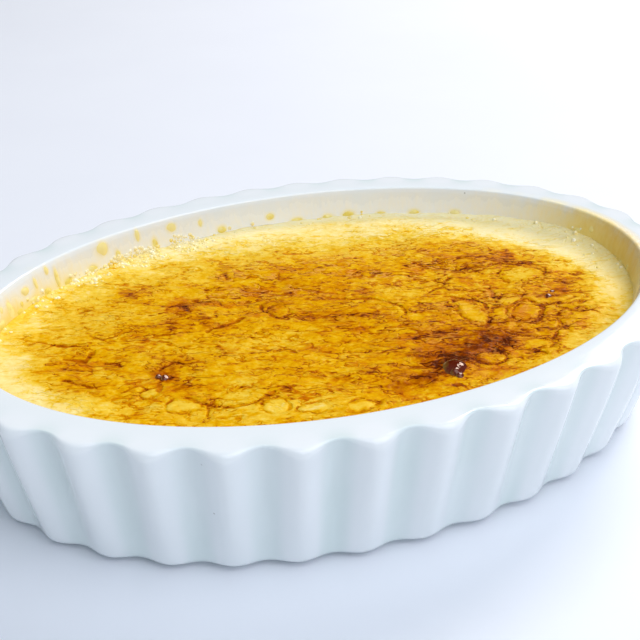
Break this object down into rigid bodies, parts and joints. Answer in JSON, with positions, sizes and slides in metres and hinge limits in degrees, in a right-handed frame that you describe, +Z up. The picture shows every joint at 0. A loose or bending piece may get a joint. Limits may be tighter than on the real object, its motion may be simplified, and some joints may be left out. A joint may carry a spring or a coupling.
{
  "type": "creme brulee in an oval fluted dish",
  "caption": "Baked custard with a browned, wrinkled top in an oval porcelain dish with a smooth inside, a flat rim and a fluted outer wall.",
  "frame": {"origin": "under the middle of the dish, on the surface that its foot ring stands on", "axes": "+Z up, +X along the oval's length, +Y along its width"},
  "size_m": [0.1392, 0.0976, 0.0269],
  "materials": {
    "glazed_porcelain": "white, smooth and glossy glaze",
    "browned_custard": "amber browned skin with fine dark wrinkles, satin to glossy, pale yellow round the edge"
  },
  "bodies": {
    "root": {"dish": "glazed_porcelain", "custard": "browned_custard"}
  },
  "joints": []
}
